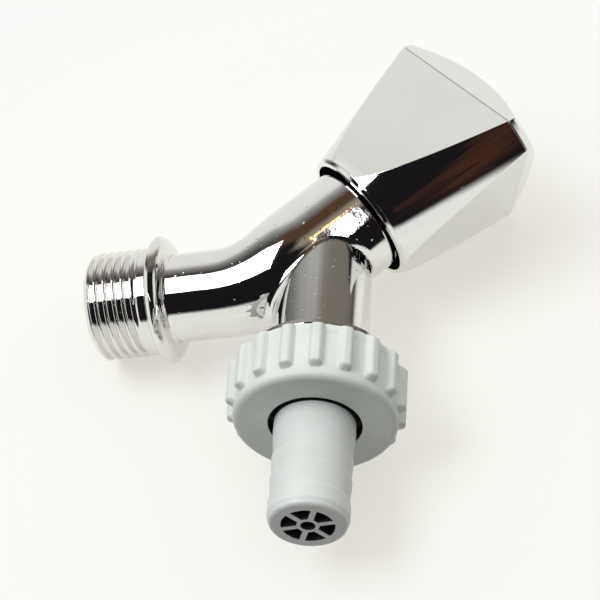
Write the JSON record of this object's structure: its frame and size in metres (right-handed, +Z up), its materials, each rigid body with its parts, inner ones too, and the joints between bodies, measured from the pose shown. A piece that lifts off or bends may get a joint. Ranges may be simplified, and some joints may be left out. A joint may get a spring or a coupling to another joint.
{
  "type": "washing machine valve",
  "caption": "Angled chrome screw-down tap with a threaded wall inlet, a three-sided turning handle and a ribbed plastic union nut that holds a barbed hose tail with a check valve.",
  "frame": {"origin": "centre of the collar's wall-side face, where the inlet thread starts", "axes": "+X along the inlet axis away from the wall, +Z up, against the outlet; the handle's axis lies in the XZ plane, 40 degrees above +X"},
  "size_m": [0.0868, 0.0384, 0.1051],
  "materials": {
    "chromed_brass": "bright plated over cast brass",
    "chromed_plastic": "bright plated over moulded plastic",
    "brass": "turned",
    "brass_spindle": "turned",
    "fibre": "red fibre",
    "low_friction_plastic": "white",
    "rubber": "black, moulded",
    "spring_steel": "stainless",
    "nut_plastic": "moulded, satin",
    "tail_plastic": "moulded, satin",
    "check_plastic": "moulded"
  },
  "bodies": {
    "body": {"valve_body": "chromed_brass", "bonnet": "brass", "bonnet_gasket": "fibre"},
    "handle": {"spindle": "brass_spindle", "thrust_washer": "low_friction_plastic", "lower_o_ring": "rubber", "upper_o_ring": "rubber", "spindle_clip": "spring_steel", "handle": "chromed_plastic", "handle_screw": "spring_steel", "handle_cap": "chromed_plastic"},
    "jumper": {"jumper": "brass", "seat_washer": "rubber", "washer_nut": "brass"},
    "hose_tail": {"hose_tail": "tail_plastic", "union_seal": "rubber", "check_seat": "check_plastic", "check_spring": "spring_steel"},
    "union_nut": {"union_nut": "nut_plastic"},
    "check_poppet": {"check_poppet": "check_plastic", "check_seal": "rubber"}
  },
  "joints": [
    {"name": "handle_turn", "type": "hinge", "parent": "body", "child": "handle", "pos_m": [0.03285, 0, 0.00972], "axis": [0.766, 0, 0.6428], "range_deg": [0, 900]},
    {"name": "jumper_lift", "type": "slide", "parent": "body", "child": "jumper", "axis": [0.766, 0, 0.6428], "range_m": [0, 0.00375]},
    {"name": "tail_draw", "type": "slide", "parent": "body", "child": "hose_tail", "axis": [0, 0, -1], "range_m": [0, 0.00499]},
    {"name": "nut_turn", "type": "hinge", "parent": "hose_tail", "child": "union_nut", "pos_m": [0.03285, 0, -0.028], "axis": [0, 0, -1], "range_deg": [0, 990]},
    {"name": "check_lift", "type": "slide", "parent": "hose_tail", "child": "check_poppet", "axis": [0, 0, -1], "range_m": [0, 0.003], "stiffness_N_per_m": 150, "springref_m": -0.003, "deforming": ["check_spring"]}
  ],
  "couplings": [
    {"joint": "jumper_lift", "follows": "handle_turn", "m_per_rad": 0.00023873},
    {"joint": "tail_draw", "follows": "nut_turn", "m_per_rad": 0.00028871}
  ]
}
